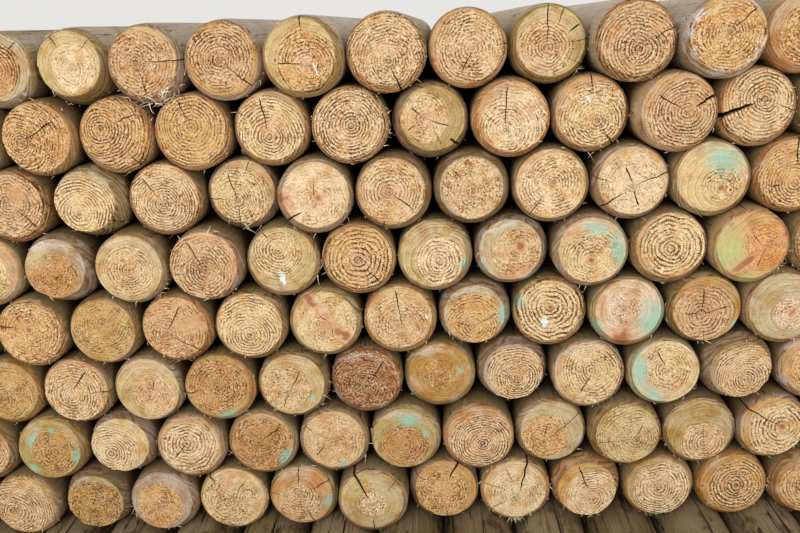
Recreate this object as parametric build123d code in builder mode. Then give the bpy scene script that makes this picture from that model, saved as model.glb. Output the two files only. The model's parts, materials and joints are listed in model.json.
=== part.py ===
from build123d import *
import math
import os
from dataclasses import dataclass

# A free-standing pile of round softwood posts. The posts lie along Y, and the
# ends that carry the bevels face -Y. Courses are counted from the floor up.
# Each one has one post fewer than the course below, because every post lies
# in the valley between two others. The origin is on the floor, in the middle
# of the ground that the pile covers. Sizes are in millimetres.

# What a post measures
post_diameter = 100.0
post_length = 1800.0
bearer_length = 2400.0

# The bevels that posts carry round their front end
light_bevel_inset = 4.0
light_bevel_length = 12.0
deep_bevel_inset = 9.0
deep_bevel_length = 28.0

# Air left between two posts that lie against each other
seat_clearance = 0.1

# A round post is drawn with this many flat sides. Six and four divide it, so
# that corners meet where posts touch each other and where they touch the floor
post_sides = 24

# How far one step of stagger moves a post along its length
stagger_step = 5.0


@dataclass
class Course:
    """One layer of the pile, with a mark for each post from the left.

    In bevels, . is a plain sawn end, b a light bevel and d a deep one. In
    stagger, a positive number is how many steps the front end stands back
    from the front of the pile, and a negative one how many it stands out.
    """

    bevels: str
    stagger: tuple
    length: float = post_length


courses = [
    Course(
        bevels="...................",
        stagger=(2, 0, -3, 1, 0, 4, -2, 0, 1, 0, 3, -1, 0, -2, 2, 0, 1, -3, 0),
        length=bearer_length,
    ),
    Course(
        bevels="....db.b.b.db.b...",
        stagger=(1, 0, -1, -1, -1, -1, 0, 0, -3, 2, 1, 0, 1, 2, 1, -2, 0, 1),
    ),
    Course(
        bevels="..bbd...b.bb.b...",
        stagger=(0, 2, -1, -1, -1, -1, 0, 0, 0, 0, 2, -1, 0, 1, -1, 0, 1),
    ),
    Course(
        bevels="...bb.b.bd.bd...",
        stagger=(-1, 1, 0, -1, -1, -1, -1, 1, 3, 3, 1, 0, 0, 2, -1, 0),
    ),
    Course(
        bevels="...bb.b.d.bb..b",
        stagger=(1, 0, -1, -1, -1, 0, 0, 1, 1, 3, 0, 1, 0, -2, 1),
    ),
    Course(
        bevels="b.dbb..bdb.b..",
        stagger=(0, 1, -2, -2, -2, 1, 0, 0, 0, -1, 0, -3, 1, 0),
    ),
    Course(
        bevels="..d.b.bdbb..b",
        stagger=(-1, 1, 1, 3, 6, -2, -1, -2, 0, 0, 0, 1, -1),
    ),
    Course(
        bevels=".b..b.dbb..b",
        stagger=(1, 0, 1, 0, 1, 0, 0, -1, 2, -3, 0, 1),
    ),
    Course(
        bevels="bdb.b..b.b.",
        stagger=(5, 2, 0, -1, -5, -2, 2, 5, -3, -6, 0),
    ),
]


@dataclass
class Post:
    """One post in its place. Its centre line runs along Y at x and z."""

    x: float
    z: float
    front: float
    length: float
    bevel: str


def first_places(count):
    """The centres of posts that lie side by side on the floor."""
    pitch = post_diameter + seat_clearance
    return [(number * pitch, post_diameter / 2) for number in range(count)]


def valley(left, right):
    """The centre of a post that lies on two others of the same size."""
    reach = post_diameter + seat_clearance
    across, rise = right[0] - left[0], right[1] - left[1]
    span = math.hypot(across, rise)
    above = math.sqrt(reach**2 - (span / 2) ** 2)
    x = (left[0] + right[0]) / 2 - above * rise / span
    z = (left[1] + right[1]) / 2 + above * across / span
    return x, z


def laid(course, places):
    """The posts of a course, with the middle of each front end at its place."""
    return [
        Post(x, z, step * stagger_step - course.length / 2, course.length, mark)
        for (x, z), mark, step in zip(places, course.bevels, course.stagger)
    ]


pile, places = [], first_places(len(courses[0].bevels))
for course in courses:
    pile.append(laid(course, places))
    places = [valley(left, right) for left, right in zip(places, places[1:])]

# The middle of the ground that the pile covers, which becomes the origin
posts = [post for course in pile for post in course]
middle_x = (posts[0].x + pile[0][-1].x) / 2
front_y = min(post.front for post in posts)
back_y = max(post.front + post.length for post in posts)
middle_y = (front_y + back_y) / 2


def make_post(mark, length):
    """A post that lies along Y with the middle of its front end at zero."""
    inset, slope = {
        ".": (0.0, 0.0),
        "b": (light_bevel_inset, light_bevel_length),
        "d": (deep_bevel_inset, deep_bevel_length),
    }[mark]
    with BuildPart() as post:
        with BuildSketch(Plane.XZ):
            RegularPolygon(post_diameter / 2, post_sides)
        extrude(amount=length, dir=(0, 1, 0))
        if inset:
            front_end = post.faces().sort_by(Axis.Y)[0]
            chamfer(front_end.edges(), inset, slope, reference=front_end)
    return post.part


kinds = {kind: make_post(*kind) for kind in {(p.bevel, p.length) for p in posts}}

os.makedirs("parts", exist_ok=True)
for number, course in enumerate(pile, start=1):
    with BuildPart() as layer:
        add([
            kinds[post.bevel, post.length].moved(
                Location((post.x - middle_x, post.front - middle_y, post.z))
            )
            for post in course
        ])
    layer.part.label = f"course_{number}"
    export_step(layer.part, f"parts/course_{number}.step")
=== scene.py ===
"""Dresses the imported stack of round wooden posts: sawn ends, weathered sides, splits and fibres."""

from __future__ import annotations

import json
import logging
import math
import random
from dataclasses import dataclass, field
from enum import Enum
from functools import partial, partialmethod

import bmesh
import bpy
import numpy as np
from mathutils import Matrix, Vector, noise

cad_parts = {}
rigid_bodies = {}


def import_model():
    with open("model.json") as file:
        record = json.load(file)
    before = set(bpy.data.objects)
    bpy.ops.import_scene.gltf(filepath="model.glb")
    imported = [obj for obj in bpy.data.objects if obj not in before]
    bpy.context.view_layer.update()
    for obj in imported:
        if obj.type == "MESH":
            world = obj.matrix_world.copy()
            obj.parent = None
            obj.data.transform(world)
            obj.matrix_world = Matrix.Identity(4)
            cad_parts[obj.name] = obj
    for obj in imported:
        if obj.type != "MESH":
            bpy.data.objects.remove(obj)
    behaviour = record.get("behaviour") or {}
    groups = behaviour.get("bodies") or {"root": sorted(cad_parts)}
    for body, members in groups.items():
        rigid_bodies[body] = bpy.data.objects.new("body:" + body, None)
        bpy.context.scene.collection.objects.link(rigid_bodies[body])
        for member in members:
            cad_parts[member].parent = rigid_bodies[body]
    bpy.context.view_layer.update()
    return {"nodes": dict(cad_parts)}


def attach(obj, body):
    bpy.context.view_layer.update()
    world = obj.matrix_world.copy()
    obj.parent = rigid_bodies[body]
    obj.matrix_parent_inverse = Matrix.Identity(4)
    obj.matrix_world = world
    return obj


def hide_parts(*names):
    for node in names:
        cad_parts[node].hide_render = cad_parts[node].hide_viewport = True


LOG = logging.getLogger("stack")
PHOTO_WIDTH = 800
COURSES = 9
MM = 0.001
TINY = 1e-6
SMOOTH_BELOW = math.radians(38)

Triple = tuple[float, float, float]


class Tone(Enum):
    """Colours of wood, stain and treatment, as display values from 0 to 255."""

    CREAM = (240, 214, 170)
    STRAW = (234, 206, 154)
    SAND = (228, 194, 146)
    TAN = (214, 174, 126)
    HONEY = (222, 178, 116)
    AMBER = (198, 146, 82)
    ORANGE = (218, 172, 122)
    OCHRE = (202, 164, 98)
    OLIVE = (192, 168, 108)
    MOSS = (214, 191, 137)
    BLUSH = (234, 190, 150)
    ROSE = (214, 168, 130)
    BROWN = (186, 142, 92)
    CHOCOLATE = (174, 118, 68)
    GREY = (192, 170, 142)
    LAVENDER = (194, 176, 162)
    SAGE = (206, 190, 150)
    KHAKI = (168, 146, 106)
    TEAL = (140, 206, 184)
    BARE = (242, 226, 192)
    SLATE = (152, 134, 104)
    PEAT = (132, 114, 84)
    SHELL = (238, 210, 182)
    MINT = (186, 206, 138)
    APRICOT = (226, 162, 96)
    GOLD = (194, 150, 78)
    WHEAT = (214, 168, 104)

    def linear(self) -> Triple:
        """Returns the colour in scene-linear values."""
        return tuple(((c / 255 + 0.055) / 1.055) ** 2.4 for c in self.value)


class Mark(Enum):
    """What a patch on a sawn end is."""

    STAIN = 0
    KNOT = 1
    FLECK = 2
    TORN = 3


@dataclass
class Split:
    """A drying split that runs out from the pith.

    Angles are degrees, anticlockwise from the right as the end is seen from the front. Start and
    end are given in hundredths of the post's radius, and width in millimetres at the rim.
    """

    angle: float
    start: float = 0
    end: float = 100
    width: float = 1.4

    def __post_init__(self) -> None:
        """Turns the hundredths into shares."""
        self.start, self.end = self.start / 100, self.end / 100


@dataclass
class Patch:
    """A stain, knot, fleck or torn place on a sawn end, given in hundredths of the post's radius.

    stretch draws it out along turn, in degrees, and strength fades it.
    """

    mark: Mark
    across: float
    up: float
    size: float
    stretch: float = 1
    turn: float = 0
    strength: float = 1
    tone: Tone = Tone.TEAL

    def __post_init__(self) -> None:
        """Turns the hundredths into shares."""
        self.across, self.up, self.size = self.across / 100, self.up / 100, self.size / 100

    def shows(self, across: float, up: float) -> float:
        """Returns how strongly the patch shows at one place of the end."""
        turn = math.radians(self.turn)
        dx, dz = across - self.across, up - self.up
        u = (dx * math.cos(turn) + dz * math.sin(turn)) / self.stretch
        v = -dx * math.sin(turn) + dz * math.cos(turn)
        return self.strength * max(0.0, 1.5 - math.hypot(u, v) / self.size) / 1.5

    def torn(self, across: float, up: float) -> float:
        """Returns how deep a torn place is at one place of the end, below 0 outside it."""
        return 1 - math.hypot(across - self.across, up - self.up) / self.size


class Look:
    """How one sawn end looks.

    core, outer and rim are the tones of the rough disc, the smooth zone round it and the bevel.
    disc is the rough disc's radius, at its centre and pith the middle of the rings. coarse is how
    torn the disc is and contrast how dark its rings are. heart is the tone round the pith, rings
    how many there are, gloss how much of the rim shines, both by lower roughness and by a painted
    highlight, fray how many fibres stand on it and side the tone of the post's side. All but rings
    are given in hundredths.
    """

    def __init__(
        self,
        core: Tone,
        outer: Tone,
        rim: Tone,
        disc: float = 80,
        at_right: float = 0,
        at_up: float = 3,
        pith_right: float = 0,
        pith_up: float = 0,
        coarse: float = 60,
        contrast: float = 60,
        *marks: Split | Patch,
        heart: Tone | None = None,
        rings: float = 12.5,
        gloss: float = 0,
        fray: float = 35,
        side: Tone = Tone.KHAKI,
    ) -> None:
        """Keeps the look, with its hundredths turned into shares."""
        patches = [mark for mark in marks if isinstance(mark, Patch)]
        stain = next((patch.tone for patch in patches if patch.mark is Mark.STAIN), Tone.TEAL)
        self.tones = [tone.linear() for tone in (core, outer, rim, heart or core, stain)]
        self.side = side.linear()
        self.at, self.pith = (at_right / 100, at_up / 100), (pith_right / 100, pith_up / 100)
        self.disc, self.coarse, self.contrast = disc / 100, coarse / 100, contrast / 100
        self.rings, self.gloss, self.fray = rings, gloss / 100, fray / 100
        self.splits = [mark for mark in marks if isinstance(mark, Split)]
        self.torn = [patch for patch in patches if patch.mark is Mark.TORN]
        self.patches = [patch for patch in patches if patch.mark is not Mark.TORN]

    def spots(self, across: float, up: float) -> Triple:
        """Returns how strongly stain, knot and fleck show at one place of the end."""
        found = [0.0, 0.0, 0.0]
        for patch in self.patches:
            kind = patch.mark.value
            found[kind] = max(found[kind], patch.shows(across, up))
        return tuple(found)


def wander(seed: float, place: float, wave: float) -> float:
    """Returns smooth noise from -1 to 1 along one line.

    Args:
        seed: Picks the line.
        place: How far along it, in metres.
        wave: The length of one swing, in metres.
    """
    return noise.noise(Vector((place / wave, seed * 7.31, 3.7)))


def cut_rows(axis: Triple, rows: list[float]) -> None:
    """Cuts the mesh in edit mode across an axis.

    Args:
        axis: The axis, of length 1.
        rows: Where along it to cut.
    """
    for row in rows:
        bpy.ops.mesh.select_all(action="SELECT")
        bpy.ops.mesh.bisect(plane_co=[row * part for part in axis], plane_no=axis)


def link(name: str, mesh: bpy.types.Mesh, finish: bpy.types.Material) -> bpy.types.Object:
    """Puts a mesh with one material into the scene and returns its object."""
    mesh.materials.clear()
    mesh.materials.append(finish)
    thing = bpy.data.objects.new(name, mesh)
    bpy.context.scene.collection.objects.link(thing)
    return thing


@dataclass
class PostBlank:
    """The turned blank that each post is a copy of, lying along +Y with its front end at y = 0."""

    radius: float = 50 * MM
    length: float = 1800 * MM
    sides: int = 72
    rim: float = 4 * MM
    rim_segments: int = 3
    front_rings: int = 17
    back_rings: int = 8
    front_rows: tuple[float, ...] = (9 * MM, 18 * MM, 32 * MM, 52 * MM, 80 * MM, 120 * MM)
    middle_rows: tuple[float, ...] = (0.18, 0.32, 0.46, 0.6, 0.74, 0.88)
    name: str = "blank"

    def build(self) -> bpy.types.Object:
        """Models the blank with its rows of faces.

        Returns:
            The blank, with its bevelled rims, its rings of faces on both ends and its rows along the side.
        """
        bpy.ops.object.select_all(action="DESELECT")
        bpy.ops.mesh.primitive_cylinder_add(
            vertices=self.sides,
            radius=self.radius,
            depth=self.length,
            end_fill_type="NGON",
            location=(0, self.length / 2, 0),
            rotation=(math.pi / 2, 0, 0),
        )
        blank = bpy.context.object
        blank.name = self.name
        bpy.ops.object.transform_apply(location=True, rotation=True, scale=True)
        bpy.ops.object.mode_set(mode="EDIT")
        rows = [*self.front_rows, *(share * self.length for share in self.middle_rows)]
        rows += [self.length - self.front_rows[0], self.length - self.front_rows[3]]
        cut_rows((0, 1, 0), rows)
        for place, rings in ((0.0, self.front_rings), (self.length, self.back_rings)):
            self._end(blank, place, rings)
        bpy.ops.object.mode_set(mode="OBJECT")
        return blank

    def _end(self, blank: bpy.types.Object, place: float, rings: int) -> None:
        """Bevels one rim and divides that end's face into rings round a middle point.

        Args:
            blank: The blank, in edit mode.
            place: Where the end is along Y.
            rings: How many rings to make.
        """
        mesh = bmesh.from_edit_mesh(blank.data)
        bpy.ops.mesh.select_all(action="DESELECT")
        for edge in mesh.edges:
            if all(abs(v.co.y - place) < TINY for v in edge.verts):
                edge.select = True
        bmesh.update_edit_mesh(blank.data)
        bpy.ops.mesh.bevel(offset=self.rim, segments=self.rim_segments, affect="EDGES")
        mesh = bmesh.from_edit_mesh(blank.data)
        bpy.ops.mesh.select_all(action="DESELECT")
        for face in mesh.faces:
            if len(face.verts) == self.sides and abs(face.calc_center_median().y - place) < TINY:
                face.select = True
        bmesh.update_edit_mesh(blank.data)
        step = (self.radius - self.rim) / (rings + 0.6)
        for _ in range(rings):
            bpy.ops.mesh.inset(thickness=step)
        bpy.ops.mesh.poke()


@dataclass(frozen=True)
class PostPlace:
    """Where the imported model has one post, and how its front end is bevelled."""

    centre: tuple[float, float]
    front: float
    back: float
    radius: float
    inset: float
    run: float


def read_posts(node: bpy.types.Object) -> list[PostPlace]:
    """Reads a course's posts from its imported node.

    Args:
        node: The course's object.

    Returns:
        The posts from left to right.
    """
    mesh = bmesh.new()
    mesh.from_mesh(node.data)
    bmesh.ops.remove_doubles(mesh, verts=mesh.verts, dist=TINY)
    left = set(mesh.verts)
    posts = []
    while left:
        todo, part = [left.pop()], []
        while todo:
            vert = todo.pop()
            part.append(vert.co.copy())
            for edge in vert.link_edges:
                other = edge.other_vert(vert)
                if other in left:
                    left.remove(other)
                    todo.append(other)
        co = np.array(part)
        low, high = co.min(0), co.max(0)
        centre = (low + high) / 2
        reach = np.hypot(co[:, 0] - centre[0], co[:, 2] - centre[2])
        radius = float(reach.max())
        face = reach[co[:, 1] < low[1] + 10 * TINY].max()
        full = co[reach > radius - 10 * TINY][:, 1].min()
        sizes = (low[1], high[1], radius, radius - face, full - low[1])
        posts.append(PostPlace((float(centre[0]), float(centre[2])), *map(float, sizes)))
    mesh.free()
    return sorted(posts, key=lambda post: post.centre[0])


class EndShape:
    """The shape of one sawn end: its bevel, the rough disc, the slope round it and its splits."""

    def __init__(self, look: Look, place: PostPlace, seed: int, plain: bool) -> None:
        """Settles the end's own sizes.

        Args:
            look: How the end looks.
            place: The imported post.
            seed: Makes each end its own.
            plain: Whether the end is the back one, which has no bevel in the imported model.
        """
        rng = random.Random(seed)
        self.look, self.seed, self.radius = look, seed, place.radius
        worn = rng.uniform(4.6, 7.2) * MM
        self.width = 1.5 * MM if plain else max(place.inset, worn)
        self.run = 2.0 * MM if plain else max(place.run, worn * 1.5)
        self.lean = Vector((rng.uniform(-0.4, 0.4), -rng.uniform(0.4, 0.75)))
        self.tilt = Vector((rng.uniform(-0.02, 0.02), rng.uniform(-0.02, 0.03)))
        self.pith = Vector(look.pith) * self.radius
        self.disc_at = Vector(look.at) * self.radius
        self.disc = look.disc * self.radius
        self.drop = rng.uniform(0.10, 0.2)

    def bevel(self, angle: float) -> tuple[float, float]:
        """Returns the bevel's width across the end and its run along the side at an angle."""
        towards = self.lean.x * math.cos(angle) + self.lean.y * math.sin(angle)
        ragged = 1 + 0.12 * noise.noise(Vector((math.cos(angle) * 3, math.sin(angle) * 3, self.seed)))
        share = max(0.2, 1 + towards) * ragged
        return self.width * share, self.run * (0.5 + 0.5 * share)

    def height(self, across: float, up: float) -> float:
        """Returns how far the end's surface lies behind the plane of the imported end."""
        level = self.tilt.x * across + self.tilt.y * up + self.radius * self.tilt.length
        beyond = math.hypot(across - self.disc_at.x, up - self.disc_at.y) - self.disc
        if beyond > 0:
            return level + beyond * self.drop
        spot = Vector((across * 160, up * 160, self.seed * 1.7))
        lumps = noise.noise(spot) + 0.6 * noise.noise(spot * 2.3)
        rise = min(1.0, -beyond / (4 * MM))
        torn = sum(max(0.0, patch.torn(across / self.radius, up / self.radius)) for patch in self.look.torn)
        return level + lumps * (0.35 + 0.5 * self.look.coarse) * MM * rise + torn * 2.2 * MM


class Post:
    """One finished post: its mesh is a shaped copy of the blank.

    The rows near the ends keep their distance from them, and the middle is stretched to fit.
    """

    taper: float = 1.5 * MM
    taper_run: float = 34 * MM
    dent: float = 0.35 * MM
    kept: float = 120 * MM
    bevel_fades: float = 110 * MM
    band_run: float = 12 * MM
    pith_fades: float = 300 * MM
    # Painted shade: inside the stack a post's side darkens over this run from each end.
    painted_shade_run: float = 60 * MM
    attributes: tuple[str, ...] = (
        "grain", "zone", "traits", "spots", "extra", "lie", "side_tone",
        "core_tone", "outer_tone", "rim_tone", "heart_tone", "stain_tone",
    )  # fmt: skip

    def __init__(self, name: str, place: PostPlace, front: Look, back: Look, seed: int, shade: float) -> None:
        """Keeps what the post is made from, and how far painted shade darkens its side inside the stack."""
        self.name, self.place, self.front, self.back = name, place, front, back
        self.seed, self.shade = seed, shade

    def build(self, blank: bpy.types.Object, sizes: PostBlank, finish: bpy.types.Material) -> bpy.types.Object:
        """Shapes a copy of the blank into this post.

        Args:
            blank: The blank's object.
            sizes: The blank's sizes.
            finish: The wood's material.

        Returns:
            The post, with its place in its mesh.
        """
        mesh = blank.data.copy()
        mesh.name = self.name
        co = np.empty(len(mesh.vertices) * 3)
        mesh.vertices.foreach_get("co", co)
        shaped, marks = self._shape(co.reshape(-1, 3), sizes)
        mesh.vertices.foreach_set("co", shaped.ravel())
        for name, values in marks.items():
            layer = mesh.attributes.new(name, "FLOAT_VECTOR", "POINT")
            layer.data.foreach_set("vector", values.ravel())
        mesh.update()
        return link(self.name, mesh, finish)

    def _shape(self, co: np.ndarray, sizes: PostBlank) -> tuple[np.ndarray, dict[str, np.ndarray]]:
        """Moves the blank's vertices.

        Args:
            co: The vertices of the blank.
            sizes: The blank's sizes.

        Returns:
            The moved vertices and what the material reads at each.
        """
        place, radius, rim = self.place, self.place.radius, sizes.rim
        ends = (EndShape(self.front, place, self.seed, False), EndShape(self.back, place, self.seed + 5000, True))
        step = 2 * math.pi / sizes.sides
        edges = [[end.bevel(index * step) for index in range(sizes.sides)] for end in ends]
        stretch = ((place.back - place.front) / 2 - self.kept) / (sizes.length / 2 - self.kept)
        slim = radius - self.taper
        shaped = np.empty((len(co), 3))
        marks = {name: np.zeros((len(co), 3)) for name in self.attributes}
        for index, (x, y, z) in enumerate(co):
            reach, angle = math.hypot(x, z), math.atan2(z, x)
            line = round(angle / step) % sizes.sides
            which = int(y >= sizes.length / 2)
            end, look, depth_in = ends[which], ends[which].look, (sizes.length - y if which else y)
            width, run = edges[which][line]
            flat, on_side = depth_in < TINY, reach > sizes.radius - TINY
            along = depth_in - rim if on_side else 0.0
            share = min(1.0, reach / (sizes.radius - rim)) if flat else 1.0
            radius_here = share * (slim - width)
            turned, lip, depth = self._opened(end, line, step, radius_here, along)
            turned += angle if lip is None else lip
            cos, sin = math.cos(turned), math.sin(turned)
            if flat:
                middle = end.pith * (1 - share)
                across, up = middle.x + radius_here * cos, middle.y + radius_here * sin
                deep, band = end.height(across, up) + depth, 0.0
            elif on_side:
                spot = Vector((x * 30, y * 3 + self.seed, z * 30))
                inward = self.dent * max(0.0, noise.noise(spot)) + depth * 0.8
                inward += self.taper * max(0.0, 1 - along / self.taper_run) ** 1.5
                across, up = (radius - inward) * cos, (radius - inward) * sin
                deep = depth_in + (run - rim) * max(0.0, 1 - along / self.bevel_fades)
                if depth_in > self.kept:
                    deep = self.kept + (depth_in - self.kept) * stretch
                band = 1 + min(1.0, along / self.band_run)
            else:
                band = 2 / math.pi * math.atan2(reach - (sizes.radius - rim), rim - depth_in)
                here = slim - width * (1 - band) - depth * 0.5
                across, up = here * cos, here * sin
                start = end.height((slim - width) * cos, (slim - width) * sin)
                deep = start + (run - start) * band**1.1 + depth * 0.6
            shaped[index] = (
                place.centre[0] + across,
                place.back - deep if which else place.front + deep,
                place.centre[1] + up,
            )
            fade = 1 - min(1.0, along / self.pith_fades)
            away = math.hypot(across - end.disc_at.x, up - end.disc_at.y) / max(end.disc, 1e-4)
            lie = (across / radius, up / radius)
            ripped = max(0.0, *(patch.torn(*lie) for patch in look.torn), 0.0)
            values = (
                (across - end.pith.x * fade, deep + end.seed % 97 * 0.05, up - end.pith.y * fade),
                # The zone's last part is the painted shade inside a split, strongest on its floor.
                (away, band, min(1.0, 0.35 + depth / (1.2 * MM)) if depth > 0 else 0.0),
                (look.rings / radius, look.coarse, look.contrast),
                look.spots(*lie),
                # Painted shade on the side of a post inside the stack, fading in from each end.
                (look.gloss, ripped, max(self.shade, 1 - deep / self.painted_shade_run)),
                (*lie, 0.0),
                self.front.side,
                *look.tones,
            )
            for rows, value in zip(marks.values(), values):
                rows[index] = value
        return shaped, marks

    def _opened(
        self, end: EndShape, line: int, step: float, radius_here: float, along: float
    ) -> tuple[float, float | None, float]:
        """Works out how the splits of an end move one vertex.

        Args:
            end: The end.
            line: The number of the vertex's line, counted round the post.
            step: The angle from one line to the next.
            radius_here: How far the vertex is from the post's middle.
            along: How far it is along the side from the bevel.

        Returns:
            The turn that follows the split's wandering line, the turn to its lip or None, and its depth there.
        """
        sides = round(2 * math.pi / step)
        for number, split in enumerate(end.look.splits):
            middle, seed = round(math.radians(split.angle) / step), end.seed + 13.7 * number
            apart = (line - middle + sides // 2) % sides - sides // 2
            if abs(apart) > 3 or radius_here < 1e-5:
                continue
            aside = wander(seed, radius_here + along * 0.2, 9 * MM) * 1.5 * MM
            aside += wander(seed + 50, radius_here, 3.4 * MM) * 0.5 * MM
            turn = aside / max(radius_here, 4 * MM) * (1.0, 1.0, 0.6, 0.25)[abs(apart)]
            place = radius_here / end.radius
            open_in = min(1.0, max(0.0, (place - split.start) / 0.12))
            to_rim = split.end >= 0.97
            open_out = 1.0 if to_rim else min(1.0, max(0.0, (split.end - place) / 0.08))
            if along > 0:
                open_out = max(0.0, 1 - along / (0.05 + 0.06 * split.width)) if to_rim else 0.0
            opening = open_in * open_out
            if abs(apart) > 1 or opening <= 0:
                return turn, None, 0.0
            grows = 0.45 + 0.55 * (place - split.start) / max(split.end - split.start, 0.1)
            half = 0.66 * split.width * MM * opening * grows + 0.05 * MM
            lip = middle * step + apart * half / max(radius_here, 2 * MM)
            return turn, lip, (0.0 if apart else (0.5 + 2.5 * split.width * grows) * MM * opening)
        return 0.0, None, 0.0


@dataclass
class FibreTuft:
    """Pale splinters that the saw left standing on the rims of one course."""

    name: str
    thickness: float = 1.0 * MM
    rows: int = 4
    shortest: float = 2.5 * MM
    longest: float = 9 * MM
    each: int = 14

    def build(self, posts: list[tuple[PostPlace, Look, int]], finish: bpy.types.Material) -> bpy.types.Object:
        """Stands splinters on the posts' front rims.

        Args:
            posts: Each post with the look of its front end and its seed.
            finish: The splinters' material.

        Returns:
            One object with all the splinters of the course.
        """
        pattern, faces = self._sliver()
        points: list[np.ndarray] = []
        for place, look, seed in posts:
            rng = random.Random(seed + 900)
            end = EndShape(look, place, seed, False)
            for _ in range(round(self.each * look.fray * rng.uniform(0.7, 1.3))):
                low = rng.random() < 0.65
                angle = rng.uniform(200, 340) if low else rng.uniform(-20, 200)
                longest = rng.uniform(self.shortest, self.longest)
                points.append(self._stand(pattern, place, end, rng, math.radians(angle), longest))
            for angle, many, longest in TUFTS.get(divmod(seed, 100), ()):
                for _ in range(many):
                    around = math.radians(angle + rng.gauss(0, 13))
                    points.append(self._stand(pattern, place, end, rng, around, longest * MM))
        size = len(pattern)
        mesh = bpy.data.meshes.new(self.name)
        every = [tuple(v + size * n for v in face) for n in range(len(points)) for face in faces]
        mesh.from_pydata(np.concatenate(points).tolist(), [], every)
        return link(self.name, mesh, finish)

    def _sliver(self) -> tuple[np.ndarray, list[tuple[int, ...]]]:
        """Models one straight sliver along +Z, one unit long, and returns its points and faces."""
        bpy.ops.object.select_all(action="DESELECT")
        bpy.ops.mesh.primitive_cone_add(vertices=4, radius1=0.5, radius2=0.08, depth=1.0, location=(0, 0, 0.5))
        sliver = bpy.context.object
        bpy.ops.object.transform_apply(location=True, rotation=True, scale=True)
        bpy.ops.object.mode_set(mode="EDIT")
        cut_rows((0, 0, 1), [row / self.rows for row in range(1, self.rows)])
        bpy.ops.object.mode_set(mode="OBJECT")
        points = np.array([tuple(v.co) for v in sliver.data.vertices])
        faces = [tuple(face.vertices) for face in sliver.data.polygons]
        bpy.data.objects.remove(sliver)
        return points, faces

    def _stand(
        self, pattern: np.ndarray, place: PostPlace, end: EndShape, rng: random.Random, angle: float, longest: float
    ) -> np.ndarray:
        """Bends one sliver and roots it on a rim.

        Args:
            pattern: The straight sliver's points.
            place: The post.
            end: The post's front end.
            rng: Where the sliver's own shape is drawn from.
            angle: Where on the rim it stands, in radians.
            longest: How long it can be.

        Returns:
            The sliver's points.
        """
        width, run = end.bevel(angle)
        share = rng.choice((0.0, 0.9, 1.0))
        reach = place.radius - width * (1 - share) - 0.4 * MM
        root = Vector((math.cos(angle) * reach, run * share + 0.6 * MM, math.sin(angle) * reach))
        outward = Vector((math.cos(angle), 0, math.sin(angle)))
        along = Vector((-math.sin(angle), 0, math.cos(angle))) * rng.uniform(-1.7, 1.7)
        way = (outward * rng.uniform(0.05, 0.65) + along + Vector((0, -rng.uniform(0.1, 0.8), 0))).normalized()
        length = longest * (0.5 + 0.5 * rng.random())
        curl = Vector((rng.uniform(-1, 1), rng.uniform(-1, 1), rng.uniform(-1.2, 0.4))) * length * 0.35
        side = way.cross(Vector((0.3, 0.5, 0.8))).normalized()
        over = way.cross(side)
        thick = self.thickness * rng.uniform(0.5, 1.2) * (1 + length / (14 * MM))
        flat = rng.uniform(0.4, 1.0)
        shift = Vector((place.centre[0], place.front, place.centre[1])) + root
        made = [
            shift + way * (z * length) + curl * z * z + side * (x * thick) + over * (y * thick * flat)
            for x, y, z in pattern
        ]
        return np.array([(x, y, max(z, 0.0)) for x, y, z in made])


@dataclass
class Staple:
    """The bright wire staple driven into one end of the top course."""

    length: float = 19 * MM
    thickness: float = 2.3 * MM
    across: float = 0.32
    up: float = -0.29
    turn: float = -71.0
    bend: float = 0.42
    rows: tuple[float, ...] = (-0.46, -0.42, -0.2, 0.0, 0.2, 0.42, 0.46)
    name: str = "staple"

    def build(self, place: PostPlace) -> bpy.types.Object:
        """Models the staple with its bent legs and puts it on the post's end.

        Args:
            place: The post that carries it.

        Returns:
            The staple.
        """
        bpy.ops.object.select_all(action="DESELECT")
        bpy.ops.mesh.primitive_cylinder_add(
            vertices=10, radius=self.thickness / 2, depth=self.length, rotation=(0, math.pi / 2, 0)
        )
        staple = bpy.context.object
        staple.name = self.name
        bpy.ops.object.transform_apply(location=True, rotation=True, scale=True)
        bpy.ops.object.mode_set(mode="EDIT")
        cut_rows((1, 0, 0), [share * self.length for share in self.rows])
        bpy.ops.object.mode_set(mode="OBJECT")
        turn = math.radians(self.turn)
        centre = Vector((place.centre[0] + self.across * place.radius, 0, place.centre[1] + self.up * place.radius))
        for vert in staple.data.vertices:
            along, deep, over = vert.co
            past = max(0.0, abs(along) - self.bend * self.length)
            along -= math.copysign(past * 0.8, along)
            deep += past * 4 + 0.2 * MM
            right = along * math.cos(turn) - over * math.sin(turn)
            up = along * math.sin(turn) + over * math.cos(turn)
            vert.co = centre + Vector((right, place.front + 0.6 * MM + deep, up))
        staple.data.materials.append(self._finish())
        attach(staple, "root")
        LOG.info("staple: 1 piece")
        return staple

    def _finish(self) -> bpy.types.Material:
        """Returns bright galvanised wire with dull spots."""
        g = Sheet(bpy.data.materials.new("galvanised_wire"))
        spots = g.noise(g.place(), 900).fade(0.4, 0.7)
        colour = g.mix(spots, (0.86, 0.86, 0.85), (0.55, 0.54, 0.52))
        dull = spots.fade(0, 1, 0.3, 0.55)
        return g.finish(g.node("BsdfPrincipled", {"Metallic": 1, "Base Color": colour, "Roughness": dull}))


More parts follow.
